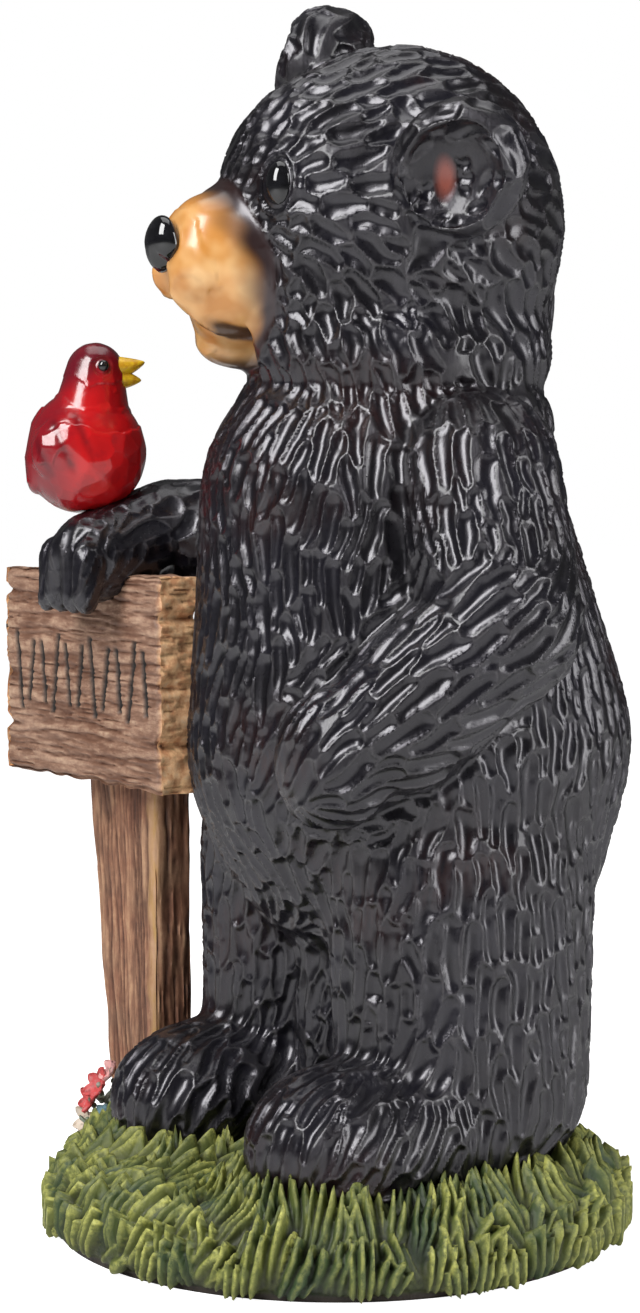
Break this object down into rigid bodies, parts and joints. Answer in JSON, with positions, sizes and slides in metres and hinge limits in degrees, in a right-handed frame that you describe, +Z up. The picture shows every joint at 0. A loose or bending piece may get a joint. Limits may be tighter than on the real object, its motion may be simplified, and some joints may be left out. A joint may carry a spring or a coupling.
{
  "type": "carved-look bear garden statue",
  "caption": "Standing black bear statue with gouged fur, one paw on a wooden sign on a post, a red bird on the paw, on a round base of carved grass.",
  "frame": {"origin": "centre of the round base's flat underside", "axes": "+Z up, the bear's body faces -Y, its left side is +X and the sign stands on its right"},
  "size_m": [0.2912, 0.2458, 0.494],
  "materials": {
    "bear_fur": "satin black painted resin with dry-brushed ridges",
    "grass": "painted resin, olive and dark green",
    "post_wood": "painted resin, reddish brown wood look",
    "board_wood": "painted resin, tan wood look with dark grooves",
    "bird_red": "glossy red painted resin, yellow beak",
    "petals": "painted resin, red, white and blue petals"
  },
  "bodies": {
    "root": {"bear": "bear_fur", "grass_base": "grass", "sign_post": "post_wood", "sign_board": "board_wood", "red_bird": "bird_red", "flowers": "petals"}
  },
  "joints": []
}
